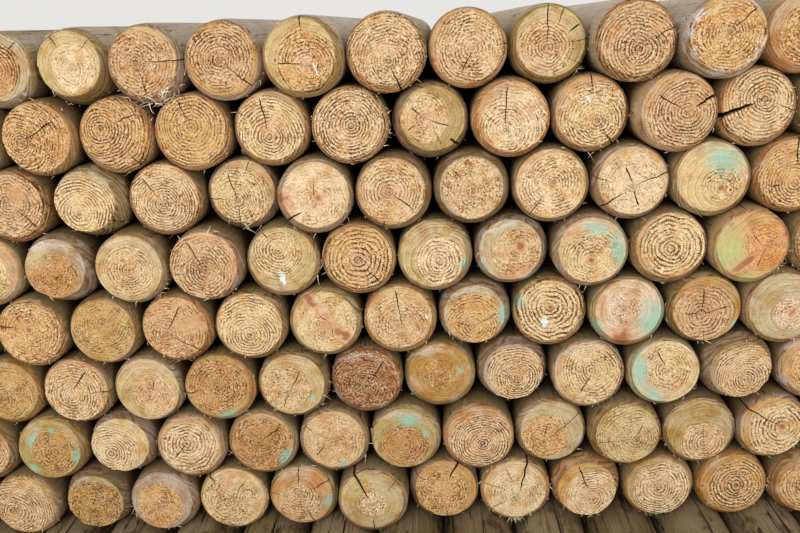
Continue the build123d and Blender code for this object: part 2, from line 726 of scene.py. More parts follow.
class Value:
    """A number, vector or colour that a node sheet works out, with the sums that the finishes use."""

    def __init__(self, sheet: Sheet, socket: bpy.types.NodeSocket) -> None:
        """Keeps the sheet, and the socket that the value comes out of."""
        self.sheet, self.socket = sheet, socket

    def _sum(self, other: object = None, *, kind: str) -> Value:
        """Returns the result of one sum on numbers."""
        return self.sheet.node("Math", {0: self, 1: other}, operation=kind)

    __add__ = __radd__ = partialmethod(_sum, kind="ADD")
    __sub__ = partialmethod(_sum, kind="SUBTRACT")
    __mul__ = __rmul__ = partialmethod(_sum, kind="MULTIPLY")
    __truediv__ = partialmethod(_sum, kind="DIVIDE")
    most = partialmethod(_sum, kind="MAXIMUM")
    least = partialmethod(_sum, kind="MINIMUM")
    fract = partialmethod(_sum, kind="FRACT")
    absolute = partialmethod(_sum, kind="ABSOLUTE")

    def __rsub__(self, other: float) -> Value:
        """Returns a plain number less this one."""
        return self.sheet.node("Math", {0: other, 1: self}, operation="SUBTRACT")

    def fade(self, low: float, high: float, start: float = 0, end: float = 1) -> Value:
        """Returns a smooth step of this number between two levels."""
        inputs = dict(enumerate((self, low, high, start, end)))
        return self.sheet.node("MapRange", inputs, interpolation_type="SMOOTHSTEP")

    def mix(self, share: object, other: object) -> Value:
        """Returns a blend of this colour and another where share says."""
        return self.sheet.mix(share, self, other)

    def shade(self, factor: Triple, share: object) -> Value:
        """Returns this colour multiplied by a tint where share says."""
        return self.sheet.mix(share, self, factor, "MULTIPLY")

    def length(self) -> Value:
        """Returns this vector's length."""
        return self.sheet.node("VectorMath", {0: self}, "Value", operation="LENGTH")

    def parts(self) -> list[Value]:
        """Returns this vector's three parts."""
        node = self.sheet.node("SeparateXYZ", {0: self}).socket.node
        return [Value(self.sheet, socket) for socket in node.outputs]


class Sheet:
    """The node sheet of a material or world, with short calls for the nodes that the finishes use."""

    def __init__(self, owner: bpy.types.Material | bpy.types.World) -> None:
        """Empties the sheet."""
        owner.use_nodes = True
        self.owner, self.tree = owner, owner.node_tree
        self.tree.nodes.clear()

    def node(self, kind: str, inputs: dict[int | str, object], out: int | str = 0, **settings: str) -> Value:
        """Adds one node.

        Args:
            kind: The node's type, without the word ShaderNode.
            inputs: What goes into its sockets. None leaves one as it is.
            out: The output that is wanted.
            settings: The node's own settings.

        Returns:
            What comes out of that output.
        """
        node = self.tree.nodes.new("ShaderNode" + kind)
        for name, setting in settings.items():
            setattr(node, name, setting)
        for name, value in inputs.items():
            socket = node.inputs[name]
            if isinstance(value, Value):
                self.tree.links.new(value.socket, socket)
            elif value is not None:
                socket.default_value = (*value, 1.0) if socket.type == "RGBA" else value
        return Value(self, node.outputs[out])

    def attribute(self, name: str) -> Value:
        """Returns a named attribute as a vector."""
        return self.node("Attribute", {}, "Vector", attribute_name=name)

    def place(self) -> Value:
        """Returns the object's own coordinates."""
        return self.node("TexCoord", {}, "Object")

    def join(self, x: object, y: object, z: object) -> Value:
        """Returns a vector made from three parts."""
        return self.node("CombineXYZ", {0: x, 1: y, 2: z})

    def noise(self, vector: Value, scale: float, detail: float = 2, rough: float = 0.5) -> Value:
        """Returns a noise pattern."""
        return self.node("TexNoise", {"Vector": vector, "Scale": scale, "Detail": detail, "Roughness": rough})

    def mix(self, share: object, a: object, b: object, kind: str = "MIX") -> Value:
        """Returns a blend of two colours."""
        return self.node("Mix", {0: share, 6: a, 7: b}, 2, data_type="RGBA", blend_type=kind)

    def seen(self) -> Value:
        """Returns 1 for rays from the camera, in a reflection or through glass, and 0 for light."""
        camera, glossy, through = (
            self.node("LightPath", {}, f"Is {kind} Ray") for kind in ("Camera", "Glossy", "Transmission")
        )
        return camera.most(glossy).most(through)

    def finish(self, surface: Value, kind: str = "Material") -> bpy.types.Material | bpy.types.World:
        """Links the surface to a new output and returns what the sheet belongs to."""
        out = self.tree.nodes.new("ShaderNodeOutput" + kind)
        self.tree.links.new(surface.socket, out.inputs["Surface"])
        return self.owner


@dataclass(frozen=True)
class WoodFinish:
    """Sawn and machine-rounded softwood, with rings on its ends and streaks along its sides."""

    name: str
    checks: float = 0.35
    mottle: float = 0.35
    blotch: float = 0.25
    side_rough: float = 0.62
    bump: float = 0.9

    def build(self) -> bpy.types.Material:
        """Returns the wood's node material."""
        g = Sheet(bpy.data.materials.new(self.name))
        here = g.place()
        gx, own, gz = g.attribute("grain").parts()
        away, band, painted_crack_shade = g.attribute("zone").parts()
        density, coarse, contrast = g.attribute("traits").parts()
        stained, knotty, flecked = g.attribute("spots").parts()
        gloss, ripped, inside = g.attribute("extra").parts()
        lie_x, lie_z, _ = g.attribute("lie").parts()
        core_tone, outer_tone, rim_tone, heart_tone, stain_tone = (
            g.attribute(f"{part}_tone") for part in ("core", "outer", "rim", "heart", "stain")
        )
        outward = g.attribute("lie").length()
        radial = g.join(gx, gz, 0).length()
        broad = g.noise(here, 24, 1) - 0.5
        fine = g.noise(here, 130) - 0.5
        uneven = g.noise(g.join(radial, gx, own), 60, 0) - 0.5
        patchy = g.noise(here, 70, 2, 0.6) - 0.5
        count = radial * density + broad * 1.8 + fine * 0.45 + uneven * 1.4
        ring = count.fract()
        ring_end = ring.fade(0.88, 1, 1, 0)
        late = ring.fade(0.45, 0.82) * ring_end
        safe = radial.most(0.002)
        turned = (part / safe * 6.5 for part in (gx, gz))
        dashes = g.noise(g.join(*turned, own * 37 + count / density * 560), 1, 1) - 0.5
        fibre = g.noise(g.join(gx, gz, radial * 1.3 + own), 270, 2, 0.6)
        speck = g.noise(here, 560, 1)
        edge = broad * 0.45 + away + (fibre - 0.5) * 0.4
        rough = edge.fade(1.06, 0.94)
        smooth = 1 - rough
        calm = knotty.fade(0.05, 0.4, 1, 0.25) * g.noise(g.join(gx, gz, own), 38, 1).fade(0.36, 0.56, 0.5, 1.1)
        torn = rough * (coarse * 0.7 + 0.3) * calm + ripped.least(1) * 0.5
        ringed = contrast * patchy.fade(-0.15, 0.12, 0.15, 1.2)
        relief = (late - 0.3) * ringed * 1.05 + dashes * 1.25 + (0.5 - fibre) * 1.5 + patchy * 0.35
        pits = g.noise(g.join(gx, gz, radial * 0.7 + own), 400, 0) + patchy * 0.16
        pit = (relief * 0.13 + pits).fade(0.66, 0.73) * (torn * 0.85 + 0.15)
        on_rim = (fine * 0.25 + band).fade(0.02, 0.16)
        colour = heart_tone.mix((broad * 0.3 + away).fade(0.1, 0.6), core_tone)
        colour = colour.mix(edge.fade(0.88, 1.1), outer_tone).mix(on_rim, rim_tone)
        faint = ring.fade(0.55, 0.85) * ring_end * ringed.most(0.45).most(on_rim) * 0.8 * smooth.most(on_rim)
        cloud = g.noise(g.join(gx, gz, own + 9), 30)
        colour = colour.mix(cloud.fade(0.45, 0.68) * (smooth * 0.45), (0.60, 0.50, 0.40))
        colour = colour.mix(cloud.fade(0.42, 0.30) * (smooth * 0.35), (0.52, 0.46, 0.20))
        pair = (count * 0.5).fract().fade(0.25, 0.9)
        colour = colour.shade((0.82, 0.74, 0.60), pair * (smooth * 0.6))
        colour = colour.shade((0.64, 0.50, 0.33), faint)
        colour = colour.shade((0.78, 0.68, 0.52), fibre.fade(0.47, 0.68) * (smooth * 0.7))
        colour = colour.shade((0.74, 0.68, 0.58), patchy.fade(-0.05, 0.25, 0, 0.6))
        colour = colour.shade((0.84, 0.64, 0.42), g.noise(here, 46, 1).fade(0.44, 0.7, 0, 0.85))
        colour = colour.mix(g.noise(g.join(gz, own, gx), 34, 1).fade(0.52, 0.7, 0, 0.22), (0.76, 0.53, 0.32))
        # Painted highlight on the torn fibres that stand highest, and partly the paler early wood of the rings.
        light = relief.fade(0.03, -0.31) * torn * core_tone.length().fade(0.25, 0.7, 0.25, 0.86)
        bright = g.mix(0.6, (0.98, 0.80, 0.55), core_tone.shade((1.27, 1.25, 1.2), 1))
        colour = colour.mix(light, bright)
        # Painted shade in the hollows of the torn end; the relief also follows the late rings, so part of it is
        # their real darker wood.
        colour = colour.shade((0.68, 0.49, 0.25), relief.fade(-0.11, 0.34) * torn)
        colour = colour.shade((0.54, 0.39, 0.22), relief.fade(0.2, 0.7) * torn)
        # Painted shade in the pits of the torn end.
        colour = colour.shade((0.34, 0.25, 0.15), pit * 0.92)
        colour = colour.shade((0.46, 0.34, 0.22), speck.fade(0.50, 0.74) * (torn * 0.85 + 0.3))
        colour = colour.mix(speck.fade(0.44, 0.26) * (torn * 0.55 + 0.15), (0.96, 0.84, 0.62))
        smear = (fibre - 0.5) * 0.5 + (fine * 1.1 + knotty)
        colour = colour.mix(smear.fade(0.12, 0.5) * 0.8, (0.66, 0.35, 0.19))
        colour = colour.mix(smear.fade(0.4, 0.85) * 0.85, (0.36, 0.115, 0.045))
        wisp = (fibre - 0.5) * 0.5 + (fine * 0.7 + stained)
        colour = colour.mix(wisp.fade(0.1, 0.95) * 0.66, stain_tone)
        scrap = (fibre - 0.5) * 0.9 + (fine * 0.5 + flecked)
        colour = colour.mix(scrap.fade(0.4, 0.47), (0.86, 0.87, 0.86))
        # Painted shade: the rim darkens towards the bottom of the end, where the bevel faces down away from the
        # lamps.
        painted_shade_below = (lie_x * 0.25 + lie_z).fade(0.5, -0.7, 0.25, 1)
        colour = colour.shade((0.87, 0.81, 0.72), (broad * 0.5 + on_rim).fade(0.3, 0.9) * painted_shade_below)
        colour = colour.shade((0.64, 0.55, 0.44), (count * 1.4).fract().fade(0.5, 0.95) * on_rim)
        # Darker at the outermost edge of the rim: partly painted shade where the bevel turns from the light, partly
        # dirt on the edge.
        colour = colour.shade((0.60, 0.52, 0.43), (fine * 0.08 + outward).fade(0.92, 1, 0, 0.25))
        # Painted highlight: a pale sheen on the outer rim of glossy ends; the roughness also drops there for real
        # reflections.
        sheen = g.noise(g.join(lie_x * 2.2, lie_z * 2.2, outward * 5 + own), 1)
        glint = sheen.fade(0.52, 0.62) * (gloss * outward.fade(0.62, 0.85)) * fibre.fade(0.4, 0.56, 0.35, 1)
        colour = colour.mix(glint * 0.6, (0.74, 0.72, 0.70))
        side_colour, side_height = self._side(g, here)
        on_side = band.fade(1.05, 1.7)
        # Painted shade: the side of a post inside the stack darkens away from its ends, where its neighbours keep
        # the light off.
        colour = colour.mix(on_side, side_colour.shade((0.22, 0.18, 0.14), 1).mix(inside, side_colour))
        # Painted shade inside the splits, on top of their real grooves.
        colour = colour.mix(painted_crack_shade.fade(0.05, 0.5), (0.018, 0.011, 0.006))
        height = relief * (torn * -1 - 0.1) + pit * -0.6 + speck * 0.1
        height = on_side * (side_height - height) + height
        bump = g.node("Bump", {"Strength": self.bump, "Distance": 1.6 * MM, "Height": height})
        dull = glint * -0.4 + (fine * 0.3 + fibre).fade(0.35, 0.65, 0.85, self.side_rough)
        look = {"Base Color": colour, "Roughness": dull, "Normal": bump}
        return g.finish(g.node("BsdfPrincipled", {"IOR": 1.45, "Specular IOR Level": 0.25, **look}))

    def _side(self, g: Sheet, here: Value) -> tuple[Value, Value]:
        """Builds the side's streaks, growth lines, knots and drying checks.

        Args:
            g: The material's sheet.
            here: The object's own coordinates.

        Returns:
            The side's colour and its height.
        """
        x, y, z = here.parts()
        drawn, seamed, bent, spread, wide, eyes, damp_at = (
            g.join(x, y * share, z) for share in (0.03, 0.045, 0.16, 0.2, 0.3, 0.42, 0.5)
        )
        streak = g.noise(drawn, 330, 3, 0.65)
        eye = g.node("TexVoronoi", {"Vector": eyes, "Scale": 7.5}, "Distance").fade(0.17, 0.05)
        line = (g.noise(bent, 16, 1) * 16 + eye * 3).fract()
        late = line.fade(0.2, 0.85) * line.fade(0.9, 1, 1, 0)
        cloud = g.noise(wide, 12, 3, 0.6).fade(0.42, 0.66)
        damp = g.noise(damp_at, 34, 3, 0.65).fade(0.5, 0.66, 0, self.blotch)
        colour = g.attribute("side_tone").shade((0.66, 0.62, 0.36), cloud * self.mottle)
        colour = colour.shade((0.72, 0.6, 0.45), late * 0.3).shade((0.32, 0.27, 0.2), damp)
        colour = colour.shade((0.55, 0.5, 0.42), streak.fade(0.52, 0.78))
        colour = colour.mix(streak.fade(0.46, 0.25) * 0.35, (0.62, 0.52, 0.36))
        colour = colour.shade((0.30, 0.16, 0.08), eye * 0.8)
        gap = (g.noise(seamed, 62, 2, 0.55) - 0.5).absolute().fade(0.012, 0.004)
        where = g.noise(spread, 30, 1).fade(0.62 - 0.3 * self.checks, 0.75 - 0.3 * self.checks)
        check = gap * where
        colour = colour.mix(check * 0.9, (0.03, 0.02, 0.012))
        return colour, streak * 0.22 + late * 0.08 + check * -0.9


@dataclass(frozen=True)
class FibreFinish:
    """Bare pale fibre, a little darker in places."""

    name: str = "bare_fibre"
    light: Tone = Tone.BARE
    dark: Tone = Tone.TAN

    def build(self) -> bpy.types.Material:
        """Returns the fibre's node material."""
        g = Sheet(bpy.data.materials.new(self.name))
        share = g.noise(g.place(), 90).fade(0.45, 0.8)
        colour = g.mix(share, self.light.linear(), self.dark.linear())
        return g.finish(g.node("BsdfPrincipled", {"Base Color": colour, "Roughness": 0.7}))


@dataclass
class Course:
    """One layer of posts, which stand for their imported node."""

    node: str
    slot: str
    looks: dict[int, Look]
    spare: tuple[Look, ...]
    finish: bpy.types.Material
    fibre: bpy.types.Material
    sizes: PostBlank
    posts: list[bpy.types.Object] = field(default_factory=list)
    places: list[tuple[PostPlace, Look, int]] = field(default_factory=list)

    def build(self, blank: bpy.types.Object, node: bpy.types.Object, number: int) -> None:
        """Makes the course's posts.

        Args:
            blank: The blank that the posts are copied from.
            node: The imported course.
            number: The course's number from the floor, which picks its seeds.
        """
        places = read_posts(node)
        for index, place in enumerate(places):
            seed = number * 100 + index
            rng = random.Random(seed)
            front = self.looks.get(index) or rng.choice(self.spare)
            back = rng.choice(self.spare)
            # Posts inside the stack get painted shade on their sides.
            inside = 1 < number < COURSES and 0 < index < len(places) - 1
            post = Post(f"post_{number}_{index + 1:02d}", place, front, back, seed, 0.05 if inside else 1.0)
            made = post.build(blank, self.sizes, self.finish)
            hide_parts(self.node)
            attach(made, "root")
            self.posts.append(made)
            self.places.append((place, front, seed))
        tuft = FibreTuft(f"fibres_{number}").build(self.places, self.fibre)
        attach(tuft, "root")
        LOG.info("%s: %d posts", self.node, len(self.posts))


@dataclass
class Studio:
    """The floor, the light and the camera."""

    camera_at: Triple = (0.0607, -1.9763, 0.7744)
    yaw: float = 0.0528
    pitch: float = -0.2733
    roll: float = 0.0508
    focal_pixels: float = 858.2
    sensor: float = 36.0

    def build(self) -> None:
        """Makes the floor, lamps, world and camera."""
        self._floor()
        self._world()
        self._lamp("key", (-1.9, -4.7, 1.7), (0.0, -0.9, 0.1), 3.0, 112.0)
        self._lamp("fill", (2.3, -4.0, 0.8), (0.0, -0.9, 0.1), 1.5, 40.0)
        self._lamp("rear", (0.8, 3.2, 2.6), (0.0, 0.6, 0.4), 2.6, 60.0)
        self._camera()

    def _floor(self) -> None:
        """Makes the plain pale floor."""
        bpy.ops.object.select_all(action="DESELECT")
        bpy.ops.mesh.primitive_plane_add(size=24.0, location=(0, 0, 0))
        floor = bpy.context.object
        floor.name = "floor"
        g = Sheet(bpy.data.materials.new("floor_paint"))
        paint = g.node("BsdfPrincipled", {"Base Color": (0.72, 0.71, 0.69), "Roughness": 0.9})
        pale = g.node("Emission", {"Color": (0.78, 0.77, 0.75)})
        floor.data.materials.append(g.finish(g.node("MixShader", {0: g.seen() * 0.5, 1: paint, 2: pale})))

    def _world(self) -> None:
        """Lights the scene evenly from all round, and shows a pale backdrop."""
        world = bpy.context.scene.world or bpy.data.worlds.new("studio")
        bpy.context.scene.world = world
        g = Sheet(world)
        light = g.node("Background", {"Color": (0.95, 0.97, 1.0), "Strength": 0.46})
        shown = g.node("Background", {"Color": (0.80, 0.79, 0.77), "Strength": 1})
        g.finish(g.node("MixShader", {0: g.seen(), 1: light, 2: shown}), "World")

    def _lamp(self, name: str, at: Triple, towards: Triple, size: float, power: float) -> None:
        """Adds one soft lamp.

        Args:
            name: The lamp's name.
            at: Where it is.
            towards: The point that it faces.
            size: How wide it is, in metres.
            power: How strong it is, in watts.
        """
        bpy.ops.object.light_add(type="AREA", location=at)
        lamp = bpy.context.object
        lamp.name = name
        lamp.data.size = size
        lamp.data.energy = power
        lamp.rotation_euler = (Vector(towards) - Vector(at)).to_track_quat("-Z", "Y").to_euler()

    def _camera(self) -> None:
        """Puts the camera where the photograph was taken from."""
        bpy.ops.object.camera_add()
        camera = bpy.context.object
        camera.data.sensor_width = self.sensor
        camera.data.lens = self.focal_pixels * self.sensor / PHOTO_WIDTH
        camera.data.clip_start = 0.01
        turns = ((self.yaw, "Z"), (self.pitch, "X"), (self.roll, "Y"))
        yaw, pitch, roll = (Matrix.Rotation(angle, 3, axis) for angle, axis in turns)
        right, ahead, up = (yaw @ pitch @ roll).transposed()
        facing = Matrix((right, up, -ahead)).transposed().to_4x4()
        camera.matrix_world = Matrix.Translation(self.camera_at) @ facing
        bpy.context.scene.camera = camera


def clear() -> None:
    """Removes what a new file starts with."""
    for thing in list(bpy.data.objects):
        bpy.data.objects.remove(thing)


(
    CREAM, STRAW, SAND, TAN, HONEY, AMBER, ORANGE, OCHRE, OLIVE, MOSS, BLUSH, ROSE, BROWN, CHOCOLATE,
    GREY, LAVENDER, SAGE, KHAKI, TEAL, BARE, SLATE, PEAT, SHELL, MINT, APRICOT, GOLD, WHEAT,
) = Tone  # fmt: skip
stain, knot, fleck, torn = (partial(Patch, mark) for mark in Mark)

SPARE = (
    Look(STRAW, SAND, GREY, 80, 0, 3, 5, 10, 60, 60, Split(70, 10, 70)),
    Look(TAN, HONEY, GREY, 85, 5, 0, -10, 0, 80, 70, Split(210, 20, 100, 2.1)),
    Look(SAND, SAGE, SAGE, 70, 0, 8, 10, -5, 50, 60, Split(320, 5, 60)),
    Look(CREAM, STRAW, LAVENDER, 75, -10, 5, -12, 8, 45, 70),
    Look(HONEY, OCHRE, KHAKI, 70, 6, -4, 0, 10, 60, 60, Split(120, 30), Split(250, 10, 50)),
    Look(STRAW, MOSS, OLIVE, 66, 0, 10, 10, 10, 50, 50, Split(20, 0, 50)),
    Look(BLUSH, SAND, GREY, 82, 0, 0, 8, 10, 50, 50, Split(150, 0, 80), knot(50, 50, 20)),
)
OLD = (
    Look(KHAKI, SLATE, SLATE, 90, 0, 0, 10, 0, 60, 60, Split(80, 0, 100, 2.4), Split(220, 10, 90), side=SLATE),
    Look(GREY, SLATE, PEAT, 90, 0, 0, 0, 10, 70, 60, Split(140, 0, 100, 3), side=PEAT),
    Look(BROWN, KHAKI, SLATE, 85, 0, 0, -10, 0, 60, 60, Split(300, 10, 100, 2.1), Split(30, 0, 70), side=SLATE),
)
LOOKS: dict[int, dict[int, Look]] = {
    9: {
        0: Look(AMBER, SAGE, SAGE, 72, -10, 5, -15, 0, 90, 80, Split(50, 60, 90), fleck(60, -60, 6),
            fleck(45, -75, 5), gloss=60),
        1: Look(CREAM, MOSS, OLIVE, 60, 12, 0, 10, -2, 15, 45, Split(113, 55, 95), Split(49, 60, 85),
            Split(175, 75, 95, 1.1), Split(316, 70, 95, 1.3), fray=90, side=GREY),
        2: Look(TAN, SAND, LAVENDER, 85, -10, -2, -20, 5, 70, 45, Split(3, 20, 100, 1.3), Split(272, 5, 75, 1.1),
            Split(330, 75, 100, 2), fray=100, side=GREY),
        3: Look(TAN, WHEAT, LAVENDER, 80, -3, 10, -10, 3, 75, 60, Split(317, 15, 95, 1.3), torn(-40, 45, 35),
            side=GREY),
        4: Look(HONEY, MOSS, OLIVE, 74, 8, -10, 14, -18, 70, 50, Split(185, 5, 65), Split(92, 68, 100, 1.8),
            heart=BLUSH, side=GREY),
        5: Look(SAND, SAND, TAN, 98, 0, 0, 6, -20, 80, 50, Split(291, 30, 97, 2.1), rings=14),
        6: Look(SAND, TAN, TAN, 86, 5, 3, 12, 0, 75, 55, Split(250, 5, 60), Split(5, 70), torn(-25, 35, 40),
            knot(-85, -20, 12)),
        7: Look(SAND, MOSS, OLIVE, 68, -8, -12, -5, -8, 55, 70, Split(92, 10, 95), Split(65, 50, 95, 1.3),
            Split(28, 55, 90, 2.2), Split(5, 60, 90, 0.9), Split(325, 65, 85, 1.1), heart=BLUSH, side=GREY),
        8: Look(TAN, TAN, BROWN, 95, 0, 0, 5, -20, 95, 75, Split(20, 30, 90, 1.3), knot(78, 52, 13),
            knot(50, 30, 12, 2.6, 35, 0.4), side=GREY),
        9: Look(HONEY, OCHRE, LAVENDER, 82, 2, 0, 2, 8, 85, 50, Split(46, 15, 90), gloss=100, side=GREY),
        10: Look(HONEY, ORANGE, ORANGE, 70, 5, -5, 0, 0, 70, 50),
    },
    8: {
        0: Look(OLIVE, KHAKI, KHAKI),
        1: Look(WHEAT, TAN, TAN, 88, -5, -5, -42, -6, 85, 60, Split(40, 10, 75, 1.6)),
        2: Look(WHEAT, WHEAT, TAN, 92, 0, 0, -32, 22, 90, 75, Split(147, 82, 100, 1.8), Split(40, 30, 75),
            Split(307, 55, 90), stain(-56, -60, 10, 1.4, 320, tone=SAGE)),
        3: Look(WHEAT, WHEAT, TAN, 93, 0, 0, 0, 15, 70, 85, Split(112, 15, 92)),
        4: Look(STRAW, TAN, TAN, 85, 0, -5, -5, -20, 70, 85, Split(104, 15, 85, 1.6), Split(150, 70, 95, 1.1),
            heart=BLUSH),
        5: Look(SAND, SAND, SAND, 98, 0, 0, 2, 0, 95, 80, fray=80),
        6: Look(SAND, OLIVE, GREY, 62, -10, 12, -12, 10, 30, 40, Split(140, 10, 55, 1.3), Split(200, 30, 60, 1.1),
            Split(343, 5, 55, 1.3), Split(298, 35, 60, 1.1), Split(318, 65, 85, 1.3), heart=BLUSH),
        7: Look(CREAM, ORANGE, ORANGE, 80, 10, -5, -15, -25, 55, 60, Split(97, 5, 85), Split(158, 30, 70, 1.1),
            Split(245, 75, 100, 2), knot(45, 20, 20, 2.6, 35, 0.35)),
        8: Look(STRAW, ORANGE, TAN, 82, 10, -3, 15, -15, 80, 60, Split(92, 60, 100, 1.6), Split(306, 40, 97, 1.6),
            fleck(-7, 38, 5, 2.6, 120)),
        9: Look(TAN, TAN, GREY, 84, 14, -5, 22, 0, 70, 90, Split(140, 10, 70), Split(25, 30, 100, 3.4),
            Split(318, 50, 75, 1.1), side=SAND),
        10: Look(SAND, SAND, TAN, 90, 3, 0, 15, 20, 80, 85, Split(190, 20, 100, 5.4), Split(357, 40, 95, 0.9),
            side=SAND),
        11: Look(SAND, OLIVE, KHAKI),
    },
    7: {
        1: Look(TAN, BROWN, BROWN, 90, 0, 0, -5, 10, 85, 60, Split(322, 20, 80, 1.6), Split(112, 40, 80, 1.3),
            knot(20, 42, 25, 1.4, 50, 0.5)),
        2: Look(STRAW, SAGE, SAGE, 80, -10, -10, -22, -22, 75, 95, Split(318, 60, 90, 1.3),
            Split(125, 45, 60, 1.3)),
        3: Look(SAND, ROSE, ROSE, 93, 0, 0, -5, -10, 75, 75, Split(132, 15, 80), rings=14),
        4: Look(STRAW, SAND, GREY, 78, -5, -5, -15, -15, 50, 60, Split(115, 5, 70), Split(185, 30, 95, 1.3),
            Split(258, 15, 80), Split(75, 60, 95, 1.1)),
        5: Look(CREAM, CREAM, LAVENDER, 80, 0, 0, 0, -20, 25, 35, Split(222, 40, 100, 2.7), Split(92, 10, 50, 0.9),
            knot(-85, 0, 30, 1.6, 0, 0.8), knot(10, 0, 10), knot(28, 15, 7), knot(50, 40, 10, 2, 40, 0.5),
            heart=BLUSH),
        6: Look(SAND, TAN, KHAKI, 82, 3, 6, -10, 5, 60, 60, Split(318, 5, 65, 1.6), Split(250, 70, 100, 1.8),
            heart=BLUSH),
        7: Look(SAND, GREY, KHAKI, 78, 0, 8, 0, 0, 75, 20, Split(130, 30, 75, 1.1)),
        8: Look(CREAM, SAND, GREY, 85, 0, 3, 5, 10, 50, 50, Split(232, 30, 95, 1.1)),
        9: Look(CREAM, SAND, LAVENDER, 80, 0, 0, 3, -8, 35, 25, Split(112, 5, 50, 2), Split(285, 5, 60, 1.8),
            Split(15, 10, 97), Split(222, 30, 100, 2.1), Split(168, 50, 90, 1.1)),
        10: Look(STRAW, STRAW, KHAKI, 45, 22, -15, 20, -20, 80, 45, stain(25, 50, 42, 1.3, 340), knot(20, -20, 8),
            side=SAND),
        11: Look(HONEY, ROSE, BROWN, 85, 0, -5, 5, -20, 70, 70, Split(86, 35, 100, 2.1), Split(200, 30, 60, 1.1),
            knot(-20, 50, 25, 1.5, 60, 0.35)),
    },
    6: {
        1: Look(STRAW, ORANGE, SAGE, 70, -10, -10, 0, 0, 40, 40),
        2: Look(AMBER, GREY, LAVENDER, 68, 0, -14, 0, -15, 40, 30, stain(-40, 45, 30, 1.6, 30, tone=MOSS),
            gloss=100),
        3: Look(SAND, MOSS, SAGE, 72, 0, 0, 0, 0, 40, 60, Split(20, 2, 20, 1.1), Split(250, 2, 15, 1.1), gloss=40),
        4: Look(TAN, BLUSH, LAVENDER, 82, -10, -2, 0, -10, 80, 65, Split(118, 10, 85, 1.6), Split(192, 50, 85, 0.9),
            heart=BROWN),
        5: Look(STRAW, MOSS, KHAKI, 62, -15, 20, -10, 30, 65, 80, Split(120, 55, 95, 1.3),
            fleck(-5, -42, 8.5, 3, 95), torn(-45, 10, 30), fray=60),
        6: Look(HONEY, TAN, TAN, 86, 0, 0, 0, 0, 100, 100, Split(311, 35, 80, 1.8), heart=BLUSH, rings=8.5),
        7: Look(CREAM, MOSS, SAGE, 62, 10, -10, 10, -12, 50, 85, stain(75, -22, 13, 1.8, 75), knot(10, -12, 4),
            rings=11),
        8: Look(SAND, SAGE, LAVENDER, 70, 14, 0, 22, 20, 50, 35, stain(55, -75, 30, 1.6, 30), knot(22, 20, 16),
            knot(30, -55, 30, 1.6, 10, 0.45), gloss=100),
        9: Look(STRAW, SAND, GREY, 75, -5, -15, 0, -20, 60, 40, stain(68, 5, 24, 2.4, 105),
            stain(10, 62, 20, 1.8, 350), knot(0, -22, 10), knot(-55, 55, 18, 1.4, 120, 0.6), torn(-20, 20, 30),
            gloss=50),
        10: Look(STRAW, TAN, KHAKI, 80, 10, 6, 5, 0, 85, 100, Split(215, 30, 60, 1.1), Split(310, 20, 45, 1.1),
            rings=9.5),
        11: Look(APRICOT, HONEY, SAND, 56, 33, 10, 30, 0, 20, 45, Split(272, 10, 50, 1.1), Split(120, 10, 40, 0.9),
            stain(-60, -5, 42, 1.6, 80, tone=MINT), stain(-10, -85, 20, 2.4), knot(-23, -40, 9, 4.6, 38, 1.6),
            knot(75, 32, 10, 2.6, 32, 0.8), side=SAND),
        12: Look(BROWN, BROWN, KHAKI, 85),
    },
    5: {
        2: Look(HONEY, BROWN, TAN, 94, 0, 0, 0, 15, 90, 40, Split(162, 35, 85, 1.8), knot(0, 15, 10)),
        3: Look(OCHRE, OCHRE, KHAKI, 80, 0, 5, 2, 25, 30, 50, knot(2, 25, 8), rings=15),
        4: Look(ORANGE, ORANGE, TAN, 90, 0, 0, -30, -10, 40, 45, Split(70, 5, 75), Split(316, 15, 92, 1.6),
            knot(75, 30, 14), knot(35, 12, 14, 3, 20, 0.4)),
        5: Look(STRAW, SAND, KHAKI, 82, 0, 0, -5, -25, 60, 85),
        6: Look(STRAW, MOSS, SAGE, 85, 0, 0, 15, 0, 35, 30, Split(128, 5, 35, 1.1), Split(290, 10, 40, 0.9),
            knot(-32, 62, 17, 1.8, 118), knot(46, -30, 17, 2, 325), knot(10, 10, 30, 2.4, 125, 0.3), heart=BLUSH),
        7: Look(SAND, SAND, TAN, 80, 0, -3, 5, -20, 55, 35, Split(93, 5, 88), fleck(70, 10, 4, 3, 110)),
        8: Look(HONEY, SAGE, GREY, 72, -2, 0, -5, -25, 55, 50, Split(14, 5, 65), Split(178, 5, 50, 1.3),
            Split(138, 65, 95, 1.1), stain(75, 5, 20, 1.8, 90), gloss=70),
        9: Look(STRAW, TAN, TAN, 95, 0, 0, 0, 15, 90, 100, fleck(-15, -25, 12, 1.3, 100), stain(-85, 35, 20),
            knot(0, 17, 7), rings=8.5),
        10: Look(SHELL, SHELL, SAGE, 45, -15, 20, -15, 12, 45, 25, stain(66, -20, 46, 1.5, 80),
            stain(-80, -45, 20, 1.8, 100), knot(-15, -72, 26, 1.3, 90, 1.2), knot(-15, 12, 6),
            knot(0, 65, 20, 1.6, 90, 0.35)),
        11: Look(TAN, OCHRE, KHAKI, 76, -5, -5, -10, -10, 50, 75, Split(92, 5, 60, 1.6), Split(187, 5, 50),
            Split(8, 5, 65), Split(268, 50, 80, 1.1), stain(80, -40, 12), rings=9.5),
        12: Look(SHELL, SAGE, KHAKI, 42, 15, -15, 15, -18, 50, 40, knot(20, -10, 9, 1.8, 60),
            knot(50, 55, 30, 1.6, 60, 0.4), side=SAND),
    },
    4: {
        2: Look(OCHRE, OCHRE, OCHRE, 75, 0, 0, -10, -15, 35, 50),
        3: Look(SAND, TAN, GREY, 84, 0, 0, -15, -5, 70, 60, Split(60, 10, 75, 1.8), Split(358, 45, 97),
            heart=CREAM),
